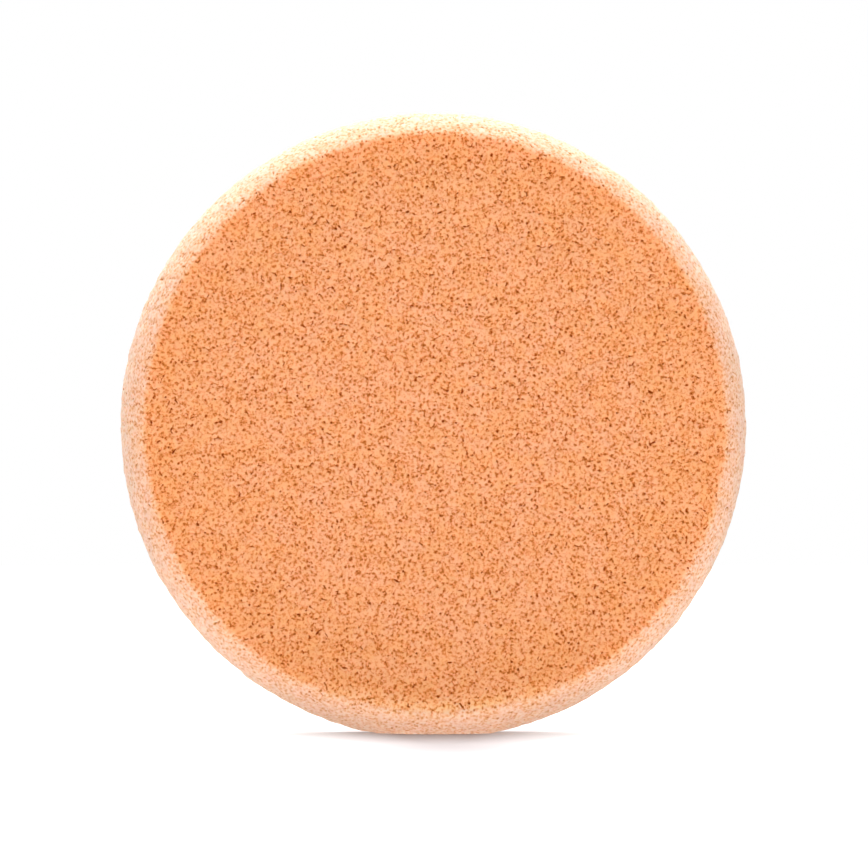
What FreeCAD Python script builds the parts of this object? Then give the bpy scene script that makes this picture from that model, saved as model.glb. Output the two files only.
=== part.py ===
import FreeCAD, Part
import os
from enum import IntEnum

import Sketcher

# One round makeup sponge: a disc of fine open-celled foam, die-cut from a sheet, with its edge
# ground to a full barrel. It stands on its edge. The disc's centre is its body's origin, its axis
# lies along Y and its front face looks towards -Y. The body is then lifted until the flat that its
# own weight presses into the rim lies on the floor, at z = 0.

# Driving sizes in millimetres: alias, value and what it measures.
SIZES = [
    ("disc_diameter", 60.0, "across the fullest part of the rim"),
    ("disc_thickness", 10.0, "between the two flat faces"),
    ("rim_crown", 2.3, "how far the ground rim stands out beyond the edge of a face"),
    ("crease_radius", 0.7, "rounding of the crease between a face and the rim"),
    ("foot_depth", 0.5, "how deep the rim is pressed flat where the sponge stands"),
    ("cut_overrun", 1.0, "how far a cutting outline reaches past the foam"),
]

# Sizes that follow from the driving ones, as expressions that the features are bound to.
CROWN_RADIUS = "sizes.disc_diameter / 2"
HALF_THICKNESS = "sizes.disc_thickness / 2"
FACE_RADIUS = "sizes.disc_diameter / 2 - sizes.rim_crown"
RIM_ARC_RADIUS = "((sizes.disc_thickness / 2) ^ 2 + sizes.rim_crown ^ 2) / (2 * sizes.rim_crown)"
AXIS_HEIGHT = "sizes.disc_diameter / 2 - sizes.foot_depth"
CUT_BOTTOM = "sizes.disc_diameter / 2 + sizes.cut_overrun"
CUT_LENGTH = "sizes.disc_thickness + 2 * sizes.cut_overrun"

FULL_TURN = 360.0


class EndNumber(IntEnum):
    """How a sketch numbers the two ends of a segment."""
    START = 1
    END = 2


class AxisNumber(IntEnum):
    """How a sketch numbers its own two axes."""
    HORIZONTAL = -1
    VERTICAL = -2


START, END = EndNumber
ORIGIN = (AxisNumber.HORIZONTAL, START)


def write_sizes(doc):
    """Fill the sheet that drives every feature."""
    sheet = doc.addObject("Spreadsheet::Sheet", "sizes")
    for row, (alias, size, meaning) in enumerate(SIZES, start=1):
        sheet.set(f"A{row}", alias)
        sheet.set(f"B{row}", str(size))
        sheet.setAlias(f"B{row}", alias)
        sheet.set(f"C{row}", meaning)
    doc.recompute()
    return sheet


def new_sketch(body, name, role):
    """Start a sketch on one of the body's own origin planes."""
    plane = next(item for item in body.Origin.OriginFeatures if item.Role == role)
    sketch = body.newObject("Sketcher::SketchObject", name)
    sketch.AttachmentSupport = [(plane, "")]
    sketch.MapMode = "FlatFace"
    return sketch


def draw_loop(sketch, segments):
    """Add segments end to end as one closed outline and return their numbers."""
    numbers = [sketch.addGeometry(segment) for segment in segments]
    for this, following in zip(numbers, numbers[1:] + numbers[:1]):
        sketch.addConstraint(Sketcher.Constraint("Coincident", this, END, following, START))
    return numbers


def drive(sketch, name, expression, kind, *where):
    """Add a sized constraint that follows an expression of the sheet."""
    number = sketch.addConstraint(Sketcher.Constraint(kind, *where, value_of(sketch, expression)))
    sketch.renameConstraint(number, name)
    sketch.setExpression(f"Constraints.{name}", expression)


def value_of(item, expression):
    """Work out an expression of the sheet as a plain number."""
    return float(item.evalExpression(expression))


def draw_half_section(body):
    """The disc's section above its axis: two flat faces, with the barrel rim as one arc between them."""
    sketch = new_sketch(body, "HalfSection", "YZ_Plane")
    half_thickness = value_of(sketch, HALF_THICKNESS)
    face_radius = value_of(sketch, FACE_RADIUS)
    front_centre = FreeCAD.Vector(-half_thickness, 0, 0)
    back_centre = FreeCAD.Vector(half_thickness, 0, 0)
    back_crease = FreeCAD.Vector(half_thickness, face_radius, 0)
    crown = FreeCAD.Vector(0, value_of(sketch, CROWN_RADIUS), 0)
    front_crease = FreeCAD.Vector(-half_thickness, face_radius, 0)
    axis_line, back_face, rim, front_face = draw_loop(sketch, [
        Part.LineSegment(front_centre, back_centre),
        Part.LineSegment(back_centre, back_crease),
        Part.Arc(back_crease, crown, front_crease),
        Part.LineSegment(front_crease, front_centre),
    ])
    sketch.addConstraint(Sketcher.Constraint("Horizontal", axis_line))
    sketch.addConstraint(Sketcher.Constraint("Symmetric", axis_line, START, axis_line, END, *ORIGIN))
    sketch.addConstraint(Sketcher.Constraint("Vertical", back_face))
    sketch.addConstraint(Sketcher.Constraint("Vertical", front_face))
    sketch.addConstraint(Sketcher.Constraint("Equal", back_face, front_face))
    drive(sketch, "Thickness", "sizes.disc_thickness", "DistanceX", axis_line, START, axis_line, END)
    drive(sketch, "FaceRadius", FACE_RADIUS, "DistanceY", back_face, START, back_face, END)
    drive(sketch, "RimArcRadius", RIM_ARC_RADIUS, "Radius", rim)
    return sketch


def draw_foot_cut(body):
    """The outline below the foot's plane, seen from the front, that the press takes away."""
    sketch = new_sketch(body, "FootOutline", "XZ_Plane")
    half_width = value_of(sketch, CROWN_RADIUS)
    foot_drop = value_of(sketch, AXIS_HEIGHT)
    cut_bottom = value_of(sketch, CUT_BOTTOM)
    corners = [
        FreeCAD.Vector(-half_width, -cut_bottom, 0),
        FreeCAD.Vector(half_width, -cut_bottom, 0),
        FreeCAD.Vector(half_width, -foot_drop, 0),
        FreeCAD.Vector(-half_width, -foot_drop, 0),
    ]
    edges = [Part.LineSegment(*ends) for ends in zip(corners, corners[1:] + corners[:1])]
    bottom, right, foot, left = draw_loop(sketch, edges)
    sketch.addConstraint(Sketcher.Constraint("Horizontal", bottom))
    for upright in (right, left):
        sketch.addConstraint(Sketcher.Constraint("Vertical", upright))
    sketch.addConstraint(Sketcher.Constraint("Symmetric", foot, START, foot, END, AxisNumber.VERTICAL))
    drive(sketch, "CutWidth", "sizes.disc_diameter", "DistanceX", bottom, START, bottom, END)
    drive(sketch, "FootDrop", AXIS_HEIGHT, "DistanceY", foot, START, *ORIGIN)
    drive(sketch, "CutBottom", CUT_BOTTOM, "DistanceY", bottom, START, *ORIGIN)
    return sketch


def build_foam_disc(doc):
    """Turn the disc, round its two creases and press its foot flat."""
    body = doc.addObject("PartDesign::Body", "foam_disc")
    body.Label = "foam_disc"

    half_section = draw_half_section(body)
    disc = body.newObject("PartDesign::Revolution", "Disc")
    disc.Profile = half_section
    disc.ReferenceAxis = (half_section, ["H_Axis"])
    disc.Angle = FULL_TURN
    doc.recompute()

    # Only the two creases run right round the disc as closed edges.
    creases = [f"Edge{number}" for number, edge in enumerate(disc.Shape.Edges, start=1) if edge.isClosed()]
    rounding = body.newObject("PartDesign::Fillet", "CreaseRounding")
    rounding.Base = (disc, creases)
    rounding.setExpression("Radius", "sizes.crease_radius")
    doc.recompute()

    foot = body.newObject("PartDesign::Pocket", "PressedFoot")
    foot.Profile = draw_foot_cut(body)
    foot.SideType = "Symmetric"
    foot.setExpression("Length", CUT_LENGTH)
    body.Tip = foot
    body.setExpression("Placement.Base.z", AXIS_HEIGHT)
    doc.recompute()

    pressed = rounding.Shape.Volume - foot.Shape.Volume
    if not pressed > 0:
        raise RuntimeError("the foot takes nothing away")
    print(f"foam volume {body.Shape.Volume:.1f} mm3, pressed away at the foot {pressed:.2f} mm3")
    return body


def check_model(doc, bodies):
    """Stop before anything is written if a feature failed or a body's shape is unsound."""
    for item in doc.Objects:
        faults = {"Invalid", "Error"}.intersection(item.State)
        if faults:
            raise RuntimeError(f"{item.Name}: {faults}")
    for body in bodies:
        if body.Shape.isNull() or not body.Shape.isValid():
            raise RuntimeError(f"{body.Label}: its shape is not sound")


def main():
    doc = FreeCAD.newDocument("makeup_sponge")
    write_sizes(doc)
    bodies = [build_foam_disc(doc)]
    check_model(doc, bodies)
    os.makedirs("parts", exist_ok=True)
    for body in bodies:
        body.Shape.exportStep(f"parts/{body.Label}.step")


main()
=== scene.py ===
import math

import bpy
import numpy as np
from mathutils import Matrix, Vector, noise
from mathutils.geometry import delaunay_2d_cdt


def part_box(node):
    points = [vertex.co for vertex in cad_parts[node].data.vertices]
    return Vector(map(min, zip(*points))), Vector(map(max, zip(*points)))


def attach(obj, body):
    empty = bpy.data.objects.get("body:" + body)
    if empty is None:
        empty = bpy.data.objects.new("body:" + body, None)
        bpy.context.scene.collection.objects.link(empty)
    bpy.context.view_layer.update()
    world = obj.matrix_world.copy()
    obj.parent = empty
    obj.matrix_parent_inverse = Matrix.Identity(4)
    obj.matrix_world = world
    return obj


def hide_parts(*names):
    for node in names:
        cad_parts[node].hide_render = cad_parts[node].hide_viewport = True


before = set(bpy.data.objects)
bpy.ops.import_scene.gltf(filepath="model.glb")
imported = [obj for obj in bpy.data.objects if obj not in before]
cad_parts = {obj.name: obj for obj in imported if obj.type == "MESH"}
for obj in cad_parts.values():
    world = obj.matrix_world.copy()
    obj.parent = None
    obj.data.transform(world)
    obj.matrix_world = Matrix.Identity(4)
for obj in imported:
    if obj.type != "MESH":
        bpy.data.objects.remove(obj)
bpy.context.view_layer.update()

# A round makeup sponge of fine foam that stands on its edge, with its axis along Y. Each half of the
# disc, front and back, is laid out on a flat round chart: the way from the chart's middle is the way
# along the disc's section, from the middle of a face to the crown of the rim. Pores are scattered and
# meshed on the charts, which are then lifted onto the disc. The material adds the finer cells.

MM = 0.001
SEED = 20
SIDES = ("front", "back")
FULL_TURN = 2 * math.pi
WHITE = (1, 1, 1, 1)

# The foam disc: its box gives the outer sizes, and the rim's form repeats the solid's named sizes.
low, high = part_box("foam_disc")
CROWN_RADIUS = (high.x - low.x) / 2
HALF_THICKNESS = (high.y - low.y) / 2
AXIS_HEIGHT = high.z - CROWN_RADIUS
RIM_CROWN = 2.3 * MM
CREASE_RADIUS = 0.7 * MM

# The section from the middle of a face to the crown of the rim: a flat, the crease's arc, the rim's arc.
RIM_ARC = (HALF_THICKNESS ** 2 + RIM_CROWN ** 2) / (2 * RIM_CROWN)
RIM_CENTRE = CROWN_RADIUS - RIM_ARC
ARCS_APART = RIM_ARC - CREASE_RADIUS
CREASE_DROP = HALF_THICKNESS - CREASE_RADIUS
FLAT_RADIUS = RIM_CENTRE + math.sqrt(ARCS_APART ** 2 - CREASE_DROP ** 2)
CREASE_TURN = math.acos(CREASE_DROP / ARCS_APART)
CREASE_LENGTH = CREASE_RADIUS * CREASE_TURN
SECTION_LENGTH = FLAT_RADIUS + CREASE_LENGTH + RIM_ARC * (math.pi / 2 - CREASE_TURN)

# Gentle unevenness of the whole surface: pitch of each wave and its height on the faces and on the rim.
SWELLS = (
    (6.0 * MM, 0.035 * MM, 0.035 * MM),
    (1.4 * MM, 0.02 * MM, 0.02 * MM),
    (0.8 * MM, 0.0, 0.11 * MM),
)

# Open pores cut into the surface: how many to a square millimetre, their radii from faint to strong,
# the least strength, the least gap between two, and the depth of a pore as a share of its radius.
PORES_PER_AREA = 0.95
PORE_RADIUS_FAINT = 0.10 * MM
PORE_RADIUS_STRONG = 0.18 * MM
PORE_FAINT = 0.25
PORE_GAP = 0.03 * MM
PORE_DEPTH_SHARE = 1.0
PORE_DEPTH_LEAST = 0.4

# Half of the pores are short bent strokes, and a few pores have grown longer and wider.
STROKE_SHARE = 0.5
STROKE_REACH = 0.28 * MM
STROKE_REACH_SPREAD = (0.5, 1.2)
STROKE_BEND = 0.7
STROKE_THIN = 0.8
STROKE_POINTS, GROWN_POINTS = 3, 5
GROWN_SHARE = 0.05
GROWN_LONGER, GROWN_WIDER = 1.5, 1.3

# A pore's lip: points round a round pore, or the turns in degrees of three points round each end of a
# stroke and of one to each side of every seat between. Lips and floors are uneven.
LIP_POINTS = 6
END_TURNS = [-60, 0, 60, 120, 180, 240]
SIDE_TURNS = [90, 270]
LIP_SPREAD = (0.7, 1.25)
FLOOR_SPREAD = 0.12
DARK_SPREAD = (0.45, 1.0)

# Points that hold the form of the crown and of the crease, and how clear of a pore they stay.
CROWN_POINTS = 520
CREASE_POINTS = 400
CREASE_LOOPS = 3
PORE_BERTH = 1.25
JOIN_WITHIN = 1e-6

# Places of the two halves on the map, which is one unit wide: circles in opposite corners.
MAP_RADIUS = 0.29
MAP_CENTRES = {"front": 0.293, "back": 0.707}

# The camera stands a little to the left of the disc's axis and a little below it.
CAMERA_DISTANCE = 450 * MM
CAMERA_LEFT = 18.8 * MM
CAMERA_BELOW = 11.1 * MM
AIM_BELOW = 0.82 * MM
FRAME_WIDTH = 83.3 * MM
SENSOR = 36.0

# Lamps that all aim at the disc's middle: name, place, size and level. The one below the floor is the
# light of a bright table.
LAMPS = (
    ("top", (0, 0.25, 1.6), (1.4, 0.6), 1.2),
    ("left", (-0.8, 0.2, 1.3), (0.8, 0.8), 0.25),
    ("rear", (0, 1.0, 1.3), (0.9, 0.7), 0.52),
    ("front", (0.1, -1.3, 0.65), (1.4, 0.8), 0.48),
    ("under", (0, -0.19, -0.3), (0.5, 0.5), 1.32),
)
WORLD_LEVEL = 0.22

# The floor's open parts glow for the camera outside an oval round the foot, which is narrow along X.
FLOOR_REACH = 3.0
FLOOR_FINISH = {
    "Base Color": (0.5, 0.47, 0.475, 1),
    "Roughness": 0.9,
    "Specular IOR Level": 0.0,
    "Emission Color": WHITE,
}
GLOW_SHAPE = (7.2, 1.0, 1.0)
GLOW_FROM, GLOW_TO = 0.024, 0.12
GLOW_NEAR, GLOW_FAR = 0.03, 1.0

FOAM_FINISH = {
    "Roughness": 0.9,
    "Specular IOR Level": 0.06,
    "Subsurface Weight": 0.6,
    "Subsurface Radius": (1.0, 0.6, 0.4),
    "Subsurface Scale": 3 * MM,
    "Sheen Weight": 0.12,
    "Sheen Roughness": 0.5,
}
BUMP_HEIGHT = 0.06 * MM
BUMP_STRENGTH = 0.8

# The foam's material works in millimetres. Its textures are turned out of the disc's own axes, and the
# scales of its noises are per millimetre.
TURNED = (0.7, 0.4, 1.1)
WARP_SCALE, WARP = 1.2, 0.25

# Fine cells: how they are strewn, a dark dot in each that ends at a distance, and paler walls between.
CELL_SCALE, CELL_CHANCE = 2.6, 0.75
DOT_IN, DOT_OUT = 0.1, 0.5
DOT_FAINT, DOT_STRONG = 0.15, 1.0
DOT_DEPTH = 0.38
WALL_IN, WALL_OUT = 0.4, 0.6
WALL_RISE = 0.22

# Bent strokes between the cells, broken up by a second noise.
BENT_SCALE, BENT_DETAIL, BENT_ROUGHNESS = 1.4, 1.0, 0.6
BENT_WIDTH, BENT_DEPTH = 0.06, 0.36
BREAK_SCALE = 2.2
BREAK_IN, BREAK_OUT = 0.42, 0.6

# Grain of the struts, with its weight on the faces and on the rim.
GRAIN_SCALE, GRAIN_DETAIL, GRAIN_ROUGHNESS = 3.8, 1.0, 0.6
GRAIN_LOW, GRAIN_HIGH = 0.25, 0.75
GRAIN_ON_FACE, GRAIN_ON_RIM = 0.44, 0.14

# The level that picks a shade: its rest, how far a pore darkens it (partly the foam's deeper colour
# inside, partly painted shade in the pit) and how calm it is on the rim.
LEVEL_REST = 0.76
PORE_FULL, PORE_PAINTED_SHADE = 0.9, 0.8
RIM_CALM = 0.68

# Shades from the dark of a pore to the brightest strut. The first stays at 0 and the last at 1.
SHADES = (
    (0.0, (0.27, 0.036, 0.001, 1)),
    (0.35, (0.555, 0.165, 0.034, 1)),
    (0.55, (0.74, 0.257, 0.083, 1)),
    (0.75, (0.845, 0.355, 0.153, 1)),
    (1.0, (0.9, 0.45, 0.226, 1)),
)

# Slow drift of hue between rosier and yellower patches, which is weaker on the rim.
HUE_SCALE, HUE_DETAIL = 0.5, 2.0
HUE_LOW, HUE_HIGH = 0.35, 0.65
HUE_MIDDLE, HUE_SPAN = 0.5, 0.6
HUE_ON_RIM = 0.35
ROSY, YELLOW = (1.0, 1.05, 1.2, 1), (0.985, 0.96, 0.83, 1)

# The outer part of a face is a little deeper in colour: radii and tint.
OUTER_FROM, OUTER_TO = 16.0, 26.0
OUTER_TINT = (0.99, 0.975, 0.9, 1)

# The ground surface of the rim is paler, and part of that paleness is painted sheen: its slow rise towards
# the crown stands in for whitening at grazing angles. It sets in quickly over the crease, in millimetres
# from the end of the flat, and slowly after that. Its edge wanders.
PALE_SKIN_AND_SHEEN = (1.06, 1.5, 2.45, 1)
SKIN_FROM, SKIN_TO, SKIN_DONE = -0.2, 0.65, 1.9
SKIN_STEP = 0.7
SKIN_WANDER = 0.3

# Up to a height above the foot, the pale rim surface reaches further in over the crease, and the lowest
# part of a
# face is painted paler between two radii: both are painted light, standing in for the bright table below.
FOOT_UP_TO = 7.0 * MM
FOOT_LIGHT_REACH = 0.6
LOW_FROM, LOW_TO = 25.0, 27.6
LOW_PAINTED_LIGHT = (1.26, 1.65, 2.0, 1)


def circle(count):
    """Points at even steps round a circle of radius one."""
    angles = np.arange(count) * (FULL_TURN / count)
    return np.column_stack([np.cos(angles), np.sin(angles)])


def section(reach):
    """Radius, height along the axis and outward turn of the surface at a way along the section."""
    on_crease = (reach - FLAT_RADIUS) / CREASE_RADIUS
    on_rim = CREASE_TURN + (reach - FLAT_RADIUS - CREASE_LENGTH) / RIM_ARC
    turn = np.where(reach < FLAT_RADIUS, 0.0, np.where(on_crease < CREASE_TURN, on_crease, on_rim))
    radius = np.where(
        reach < FLAT_RADIUS,
        reach,
        np.where(
            on_crease < CREASE_TURN,
            FLAT_RADIUS + CREASE_RADIUS * np.sin(turn),
            RIM_CENTRE + RIM_ARC * np.sin(turn),
        ),
    )
    height = np.where(
        on_crease < CREASE_TURN,
        HALF_THICKNESS - CREASE_RADIUS * (1 - np.cos(turn)),
        RIM_ARC * np.cos(turn),
    )
    return radius, height, turn


def pore_spine(rng, centre, grown):
    """One point for a round pore, or a few along a short bent stroke."""
    if rng.random() > STROKE_SHARE:
        return centre[None, :]
    heading = rng.uniform(0, FULL_TURN)
    bend = rng.uniform(-STROKE_BEND, STROKE_BEND)
    reach = STROKE_REACH * rng.uniform(*STROKE_REACH_SPREAD) * (GROWN_LONGER if grown else 1)
    ways = np.linspace(-1, 1, GROWN_POINTS if grown else STROKE_POINTS)
    courses = heading + bend * ways
    return centre + reach * ways[:, None] * np.column_stack([np.cos(courses), np.sin(courses)])


def scatter_pores(rng):
    """Spines, radii and strengths of the pores of one half, on its chart, none touching another."""
    wanted = int(PORES_PER_AREA * math.pi * (SECTION_LENGTH / MM) ** 2)
    cell = 2 * PORE_RADIUS_STRONG * GROWN_WIDER + PORE_GAP
    limit = SECTION_LENGTH - PORE_GAP
    taken = {}

    def crowded(u, v, radius):
        column, row = int(u // cell), int(v // cell)
        return any(
            math.hypot(u - other_u, v - other_v) < radius + other_radius + PORE_GAP
            for i in (column - 1, column, column + 1)
            for j in (row - 1, row, row + 1)
            for other_u, other_v, other_radius in taken.get((i, j), ())
        )

    pores = []
    while len(pores) < wanted:
        reach = SECTION_LENGTH * math.sqrt(rng.random())
        angle = rng.uniform(0, FULL_TURN)
        centre = np.array([math.cos(angle), math.sin(angle)]) * reach
        strength = rng.uniform(PORE_FAINT, 1)
        grown = rng.random() < GROWN_SHARE
        spine = pore_spine(rng, centre, grown)
        radius = PORE_RADIUS_FAINT + (PORE_RADIUS_STRONG - PORE_RADIUS_FAINT) * strength
        if len(spine) > 1:
            radius *= STROKE_THIN
        if grown:
            radius *= GROWN_WIDER
        if np.hypot(*spine.T).max() + radius > limit or any(crowded(u, v, radius) for u, v in spine):
            continue
        for u, v in spine:
            taken.setdefault((int(u // cell), int(v // cell)), []).append((u, v, radius))
        pores.append((spine, radius, strength))
    return pores


def pore_points(rng, spine, radius, strength):
    """The lip of a pore at the surface and its floor below: places on the chart, depths and darkness."""
    if len(spine) > 1:
        along = spine[-1] - spine[0]
        heading = math.atan2(along[1], along[0])
        middle = list(range(1, len(spine) - 1))
        turns = np.radians(END_TURNS + SIDE_TURNS * len(middle))
        seats = spine[[-1, -1, -1, 0, 0, 0] + [seat for seat in middle for _ in SIDE_TURNS]]
    else:
        heading = rng.uniform(0, FULL_TURN)
        turns = np.arange(LIP_POINTS) * (FULL_TURN / LIP_POINTS)
        seats = spine[[0] * LIP_POINTS]
    around = np.column_stack([np.cos(turns + heading), np.sin(turns + heading)])
    lip = seats + around * radius * rng.uniform(*LIP_SPREAD, (len(seats), 1))
    floor = spine + rng.normal(0, FLOOR_SPREAD * radius, spine.shape)
    darkness = strength * rng.uniform(*DARK_SPREAD, len(floor)) if len(floor) > 1 else np.array([strength])
    down = radius * PORE_DEPTH_SHARE * (PORE_DEPTH_LEAST + (1 - PORE_DEPTH_LEAST) * darkness)
    at_lip = np.zeros(len(lip))
    return np.vstack([lip, floor]), np.concatenate([at_lip, down]), np.concatenate([at_lip, darkness])


def crease_points(pores):
    """Loops of points on a chart that hold the crease's form, left out where a pore lies."""
    ways = np.linspace(FLAT_RADIUS, FLAT_RADIUS + CREASE_LENGTH, CREASE_LOOPS)
    loops = np.vstack([circle(CREASE_POINTS) * way for way in ways])
    clear = np.ones(len(loops), bool)
    for spine, radius, _ in pores:
        for seat in spine:
            if abs(math.hypot(*seat) - FLAT_RADIUS) < 2 * CREASE_LENGTH:
                clear &= np.hypot(*(loops - seat).T) > PORE_BERTH * radius + PORE_GAP
    return loops[clear]


def chart_half(rng):
    """Points of one half on its chart, with depths and darkness, and the triangles that join them."""
    crown = circle(CROWN_POINTS) * SECTION_LENGTH
    pores = scatter_pores(rng)
    dug = [pore_points(rng, *pore) for pore in pores]
    creases = crease_points(pores)
    on_crown, on_crease = np.zeros(len(crown)), np.zeros(len(creases))
    places = np.vstack([crown, *(found for found, _, _ in dug), creases])
    depths = np.concatenate([on_crown, *(down for _, down, _ in dug), on_crease])
    darks = np.concatenate([on_crown, *(dark for _, _, dark in dug), on_crease])
    in_mm = [Vector(place) for place in (places / MM).tolist()]
    _, _, faces, origins, _, _ = delaunay_2d_cdt(in_mm, [], [], 0, JOIN_WITHIN)
    first = np.array([origin[0] for origin in origins])
    return places, depths, darks, first[np.array(faces)]


def lift(side, places, depths):
    """Take points from a half's chart to their place on the foam disc."""
    reach = np.hypot(*places.T)
    angle = np.arctan2(places[:, 1], places[:, 0])
    radius, height, turn = section(reach)
    facing = -1 if side == "front" else 1
    out = np.column_stack([
        np.sin(turn) * np.cos(angle),
        facing * np.cos(turn),
        np.sin(turn) * np.sin(angle),
    ])
    points = np.column_stack([
        radius * np.cos(angle),
        facing * height,
        radius * np.sin(angle) + AXIS_HEIGHT,
    ])
    for pitch, on_face, on_rim in SWELLS:
        wave = np.array([noise.noise(Vector(point) / pitch) for point in points.tolist()])
        rise = on_face + (on_rim - on_face) * np.sin(turn)
        points += out * (wave * rise)[:, None]
    pressed = points[:, 2] < 0
    points[pressed, 2] = 0
    out[pressed] = (0, 0, -1)
    return points - out * depths[:, None]


def map_places(side, places, triangles):
    """Where the corners of a half's triangles lie on the map: its flattened chart, seen from outside."""
    seen = places * ((-1, 1) if side == "back" else (1, 1))
    return MAP_CENTRES[side] + seen[triangles.ravel()] / SECTION_LENGTH * MAP_RADIUS


def build_foam(name):
    """One closed mesh of the whole disc: two halves that share the loop of points on the rim's crown."""
    rng = np.random.default_rng(SEED)
    points, triangles, pores, maps = [], [], [], []
    count = 0
    for side in SIDES:
        places, depths, darks, found = chart_half(rng)
        lifted = lift(side, places, depths)
        if side == "back":
            found = found[:, ::-1]
        maps.append(map_places(side, places, found))
        if side == "back":
            lifted, darks = lifted[CROWN_POINTS:], darks[CROWN_POINTS:]
            found = np.where(found >= CROWN_POINTS, found - CROWN_POINTS + count, found)
        points.append(lifted)
        triangles.append(found)
        pores.append(darks)
        count += len(lifted)
    mesh = bpy.data.meshes.new(name)
    mesh.from_pydata(np.vstack(points).tolist(), [], np.vstack(triangles).tolist())
    mesh.attributes.new("pore", "FLOAT", "POINT").data.foreach_set("value", np.concatenate(pores))
    mesh.uv_layers.new(name="OFBake").data.foreach_set("uv", np.vstack(maps).ravel())
    mesh.polygons.foreach_set("use_smooth", [True] * len(mesh.polygons))
    mesh.validate()
    foam = bpy.data.objects.new(name, mesh)
    bpy.context.collection.objects.link(foam)
    return foam


def feed(tree, socket, value):
    """Give an input a value by itself, or a link from another node's output."""
    if isinstance(value, bpy.types.NodeSocket):
        tree.links.new(value, socket)
    else:
        socket.default_value = value


def node(tree, kind, **sockets):
    """Add a node and feed its named inputs."""
    made = tree.nodes.new(kind)
    for name, value in sockets.items():
        feed(tree, made.inputs[name.replace("_", " ")], value)
    return made


def mixed(tree, factor, first, second, blend="MIX"):
    """Blend two colours, each given by value or by link."""
    made = tree.nodes.new("ShaderNodeMix")
    made.data_type = "RGBA"
    made.blend_type = blend
    for name, value in (("Factor", factor), ("A", first), ("B", second)):
        feed(tree, next(socket for socket in made.inputs if socket.name == name and socket.enabled), value)
    return next(socket for socket in made.outputs if socket.enabled)


def reckoned(tree, operation, *values):
    """One step of arithmetic on values or links."""
    made = tree.nodes.new("ShaderNodeMath")
    made.operation = operation
    for socket, value in zip(made.inputs, values):
        feed(tree, socket, value)
    return made.outputs[0]


def reckoned_vector(tree, operation, *vectors):
    """One step of arithmetic on vectors, with the node that holds its outcome."""
    made = tree.nodes.new("ShaderNodeVectorMath")
    made.operation = operation
    for socket, vector in zip(made.inputs, vectors):
        feed(tree, socket, vector)
    return made


def ranged(tree, value, start, end, first, last, smooth=True):
    """Take a value from one range to another and hold it at the ends."""
    made = node(
        tree, "ShaderNodeMapRange", Value=value,
        From_Min=start, From_Max=end, To_Min=first, To_Max=last,
    )
    made.interpolation_type = "SMOOTHSTEP" if smooth else "LINEAR"
    return made.outputs["Result"]


def finish(shader, inputs):
    """Set inputs of a shader that are the same all over."""
    for name, value in inputs.items():
        shader.inputs[name].default_value = value


def new_material(name):
    """A material with its tree and its shader."""
    material = bpy.data.materials.new(name)
    material.use_nodes = True
    return material, material.node_tree, material.node_tree.nodes["Principled BSDF"]


def looked_at(tree):
    """One for a ray from the camera, or for one that gloss or a clear piece sends on."""
    rays = tree.nodes.new("ShaderNodeLightPath").outputs
    sent_on = reckoned(tree, "MAXIMUM", rays["Is Glossy Ray"], rays["Is Transmission Ray"])
    return reckoned(tree, "MAXIMUM", rays["Is Camera Ray"], sent_on)


def rim_skin_and_painted_light(tree, radius, warp, by_foot):
    """How much of the rim's paler ground surface there is, none on a face and one on the rim: partly the
    real ground finish, partly painted sheen towards the crown and painted light from the table near the
    foot.
    """
    wander = reckoned(tree, "SUBTRACT", warp.outputs["Fac"], 0.5)
    edge = reckoned(tree, "MULTIPLY_ADD", wander, SKIN_WANDER, radius)
    # Painted light: near the foot the pale rim colour reaches further in, for the light of the table
    # below.
    edge = reckoned(tree, "MULTIPLY_ADD", by_foot, FOOT_LIGHT_REACH, edge)
    flat = FLAT_RADIUS / MM
    quick = ranged(tree, edge, flat + SKIN_FROM, flat + SKIN_TO, 0.0, SKIN_STEP)
    slow = ranged(tree, edge, flat + SKIN_TO, flat + SKIN_DONE, 0.0, 1 - SKIN_STEP, smooth=False)
    return reckoned(tree, "ADD", quick, slow)


def cell_level(tree, drawn, level):
    """Lower a level at dots of differing strength, and raise it at the walls between them."""
    cells = node(tree, "ShaderNodeTexVoronoi", Vector=drawn, Scale=CELL_SCALE, Randomness=CELL_CHANCE)
    chance = node(tree, "ShaderNodeSeparateColor", Color=cells.outputs["Color"])
    strength = ranged(tree, chance.outputs[0], 0.0, 1.0, DOT_FAINT, DOT_STRONG, smooth=False)
    dot = ranged(tree, cells.outputs["Distance"], DOT_IN, DOT_OUT, 1.0, 0.0)
    dot = reckoned(tree, "MULTIPLY", dot, strength)
    wall = ranged(tree, cells.outputs["Distance"], WALL_IN, WALL_OUT, 0.0, 1.0)
    level = reckoned(tree, "MULTIPLY_ADD", dot, -DOT_DEPTH, level)
    return reckoned(tree, "MULTIPLY_ADD", wall, WALL_RISE, level)


def stroke_level(tree, in_mm, drawn, level):
    """Lower a level along bent strokes, where one noise crosses its middle and another lets it show."""
    course = node(
        tree, "ShaderNodeTexNoise", Vector=in_mm,
        Scale=BENT_SCALE, Detail=BENT_DETAIL, Roughness=BENT_ROUGHNESS,
    )
    off = reckoned(tree, "ABSOLUTE", reckoned(tree, "SUBTRACT", course.outputs["Fac"], 0.5))
    stroke = ranged(tree, off, 0.0, BENT_WIDTH, 1.0, 0.0)
    breaks = node(tree, "ShaderNodeTexNoise", Vector=drawn, Scale=BREAK_SCALE, Detail=0.0)
    shown = ranged(tree, breaks.outputs["Fac"], BREAK_IN, BREAK_OUT, 0.0, 1.0)
    return reckoned(tree, "MULTIPLY_ADD", reckoned(tree, "MULTIPLY", stroke, shown), -BENT_DEPTH, level)


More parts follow.
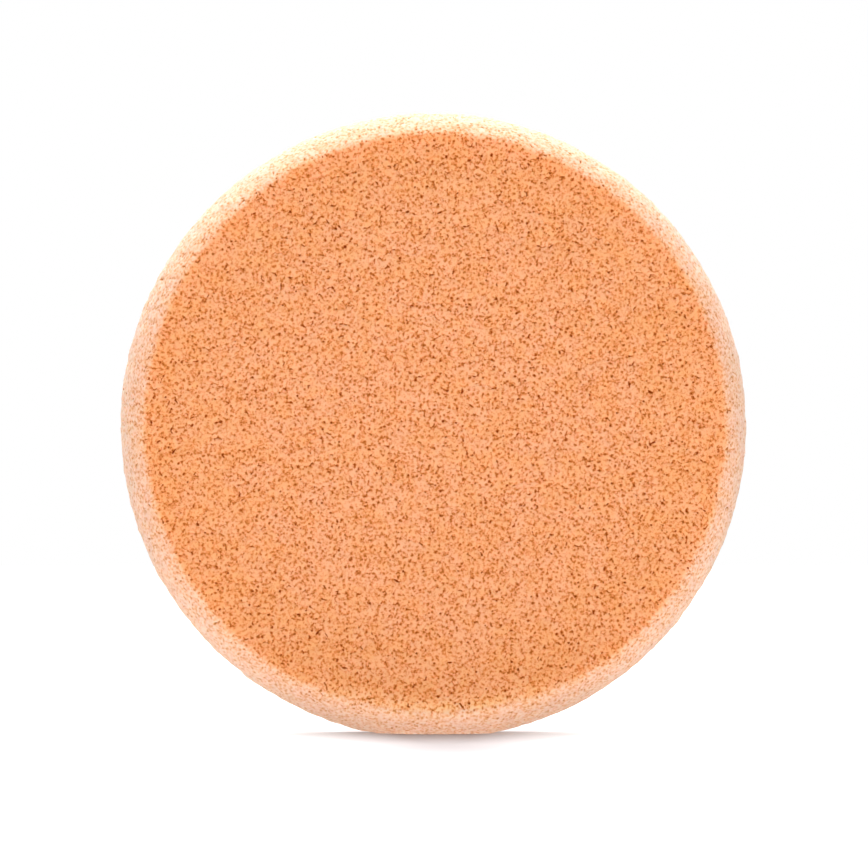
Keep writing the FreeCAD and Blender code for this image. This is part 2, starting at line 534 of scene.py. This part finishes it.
def grain_level(tree, in_mm, skin_and_painted_light, level):
    """Add the grain of the struts to a level, less of it on the rim."""
    grain = node(
        tree, "ShaderNodeTexNoise", Vector=in_mm,
        Scale=GRAIN_SCALE, Detail=GRAIN_DETAIL, Roughness=GRAIN_ROUGHNESS,
    )
    grit = ranged(tree, grain.outputs["Fac"], GRAIN_LOW, GRAIN_HIGH, -1.0, 1.0, smooth=False)
    weight = ranged(tree, skin_and_painted_light, 0.0, 1.0, GRAIN_ON_FACE, GRAIN_ON_RIM, smooth=False)
    return reckoned(tree, "MULTIPLY_ADD", grit, weight, level)


def shade_of(tree, level):
    """The foam's own colour at a level."""
    ramp = node(tree, "ShaderNodeValToRGB", Fac=level)
    stops = ramp.color_ramp.elements
    for position, _ in SHADES[1:-1]:
        stops.new(position)
    for stop, (_, colour) in zip(stops, SHADES):
        stop.color = colour
    return ramp.outputs["Color"]


def drift_of_hue(tree, in_mm, skin_and_painted_light):
    """A tint that wanders between rosier and yellower."""
    drift = node(tree, "ShaderNodeTexNoise", Vector=in_mm, Scale=HUE_SCALE, Detail=HUE_DETAIL)
    hue = ranged(tree, drift.outputs["Fac"], HUE_LOW, HUE_HIGH, -HUE_SPAN / 2, HUE_SPAN / 2)
    share = ranged(tree, skin_and_painted_light, 0.0, 1.0, 1.0, HUE_ON_RIM, smooth=False)
    return mixed(tree, reckoned(tree, "MULTIPLY_ADD", hue, share, HUE_MIDDLE), ROSY, YELLOW)


def foam_material():
    """Matt open foam: dots, strokes and grain pick a shade, tinted by patches, paler on the rim partly as
    painted sheen, and painted paler low on each face as light from the table.
    """
    material, tree, shader = new_material("foam")
    place = tree.nodes.new("ShaderNodeTexCoord").outputs["Object"]
    turned = node(
        tree, "ShaderNodeMapping", Vector=place,
        Scale=(1 / MM, 1 / MM, 1 / MM), Rotation=TURNED,
    )
    in_mm = turned.outputs[0]
    from_axis = node(
        tree, "ShaderNodeMapping", Vector=place,
        Location=(0, 0, -AXIS_HEIGHT / MM), Scale=(1 / MM, 0, 1 / MM),
    )
    radius = reckoned_vector(tree, "LENGTH", from_axis.outputs[0]).outputs["Value"]
    warp = node(tree, "ShaderNodeTexNoise", Vector=in_mm, Scale=WARP_SCALE, Detail=0.0)
    warped = reckoned_vector(tree, "MULTIPLY_ADD", warp.outputs["Color"], (WARP, WARP, WARP), in_mm)
    drawn = warped.outputs[0]
    above = node(tree, "ShaderNodeSeparateXYZ", Vector=place)
    by_foot = ranged(tree, above.outputs["Z"], 0.0, FOOT_UP_TO, 1.0, 0.0)
    skin_and_painted_light = rim_skin_and_painted_light(tree, radius, warp, by_foot)

    level = cell_level(tree, drawn, 0.0)
    level = stroke_level(tree, in_mm, drawn, level)
    pore = node(tree, "ShaderNodeAttribute")
    pore.attribute_name = "pore"
    # A pore's floor is darker: partly the foam's deeper colour inside, partly painted shade in the pit.
    pit_shade = ranged(tree, pore.outputs["Fac"], 0.0, PORE_FULL, 0.0, 1.0)
    level = reckoned(tree, "MULTIPLY_ADD", pit_shade, -PORE_PAINTED_SHADE, level)
    calm = ranged(tree, skin_and_painted_light, 0.0, 1.0, 1.0, RIM_CALM, smooth=False)
    level = reckoned(tree, "MULTIPLY_ADD", level, calm, LEVEL_REST)
    level = grain_level(tree, in_mm, skin_and_painted_light, level)

    tint = drift_of_hue(tree, in_mm, skin_and_painted_light)
    shade = mixed(tree, 1.0, shade_of(tree, level), tint, blend="MULTIPLY")
    outer = ranged(tree, radius, OUTER_FROM, OUTER_TO, 0.0, 1.0)
    shade = mixed(tree, outer, shade, OUTER_TINT, blend="MULTIPLY")
    # Partly painted sheen: the rim's paler colour also stands in for whitening at grazing angles.
    pale_and_sheen = mixed(tree, 1.0, shade, PALE_SKIN_AND_SHEEN, blend="MULTIPLY")
    # Painted light: the lowest part of each face is painted paler, for the light of the bright table
    # below.
    painted_table_light = ranged(tree, radius, LOW_FROM, LOW_TO, 0.0, 1.0)
    painted_table_light = reckoned(tree, "MULTIPLY", painted_table_light, by_foot)
    painted_table_light = reckoned(tree, "MULTIPLY", painted_table_light, reckoned(tree, "SUBTRACT", 1.0, skin_and_painted_light))
    shade = mixed(tree, painted_table_light, shade, LOW_PAINTED_LIGHT, blend="MULTIPLY")
    tree.links.new(mixed(tree, skin_and_painted_light, shade, pale_and_sheen), shader.inputs["Base Color"])
    finish(shader, FOAM_FINISH)
    bump = node(tree, "ShaderNodeBump", Height=level, Distance=BUMP_HEIGHT, Strength=BUMP_STRENGTH)
    tree.links.new(bump.outputs["Normal"], shader.inputs["Normal"])
    return material


def floor_material():
    """Pale floor whose open parts show as white to the camera, while the shadow stays."""
    material, tree, shader = new_material("floor")
    finish(shader, FLOOR_FINISH)
    place = tree.nodes.new("ShaderNodeTexCoord").outputs["Object"]
    shaped = reckoned_vector(tree, "MULTIPLY", place, GLOW_SHAPE)
    away = reckoned_vector(tree, "LENGTH", shaped.outputs[0]).outputs["Value"]
    glow = ranged(tree, away, GLOW_FROM, GLOW_TO, GLOW_NEAR, GLOW_FAR, smooth=False)
    glow = reckoned(tree, "MULTIPLY", looked_at(tree), glow)
    tree.links.new(glow, shader.inputs["Emission Strength"])
    return material


def build_floor():
    """A square floor that lets the light of the table below through."""
    mesh = bpy.data.meshes.new("floor")
    corners = [(x * FLOOR_REACH, y * FLOOR_REACH, 0) for x, y in ((-1, -1), (1, -1), (1, 1), (-1, 1))]
    mesh.from_pydata(corners, [], [(0, 1, 2, 3)])
    mesh.materials.append(floor_material())
    floor = bpy.data.objects.new("floor", mesh)
    bpy.context.collection.objects.link(floor)
    floor.visible_shadow = False


def set_world():
    """A dim world to the sponge, and a white one to the camera."""
    world = bpy.data.worlds.new("studio")
    bpy.context.scene.world = world
    world.use_nodes = True
    tree = world.node_tree
    background = tree.nodes["Background"]
    background.inputs["Color"].default_value = WHITE
    strength = ranged(tree, looked_at(tree), 0.0, 1.0, WORLD_LEVEL, 1.0, smooth=False)
    tree.links.new(strength, background.inputs["Strength"])


def add_softbox(name, place, size, level):
    """Add a soft lamp by the light that it gives a surface facing it: at 1 a colour shows as written."""
    lamp = bpy.data.lights.new(name, "AREA")
    lamp.shape = "RECTANGLE"
    lamp.size, lamp.size_y = size
    beam = Vector((0, 0, AXIS_HEIGHT)) - Vector(place)
    lamp.energy = level * math.pi ** 2 * beam.length_squared
    box = bpy.data.objects.new(name, lamp)
    bpy.context.collection.objects.link(box)
    box.location = place
    box.rotation_euler = beam.to_track_quat("-Z", "Y").to_euler()


def add_camera():
    """A long lens from the photo's place, framed by the width that it sees at the disc."""
    data = bpy.data.cameras.new("camera")
    data.sensor_width = SENSOR
    camera = bpy.data.objects.new("camera", data)
    bpy.context.collection.objects.link(camera)
    camera.location = (-CAMERA_LEFT, -CAMERA_DISTANCE, AXIS_HEIGHT - CAMERA_BELOW)
    beam = Vector((0, 0, AXIS_HEIGHT - AIM_BELOW)) - camera.location
    data.lens = SENSOR * beam.length / FRAME_WIDTH
    camera.rotation_euler = beam.to_track_quat("-Z", "Y").to_euler()
    bpy.context.scene.camera = camera


foam = build_foam("sponge_foam")
foam.data.materials.append(foam_material())
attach(foam, "root")
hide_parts("foam_disc")

build_floor()
set_world()
for lamp_facts in LAMPS:
    add_softbox(*lamp_facts)
add_camera()
bpy.context.scene.view_settings.view_transform = "Standard"
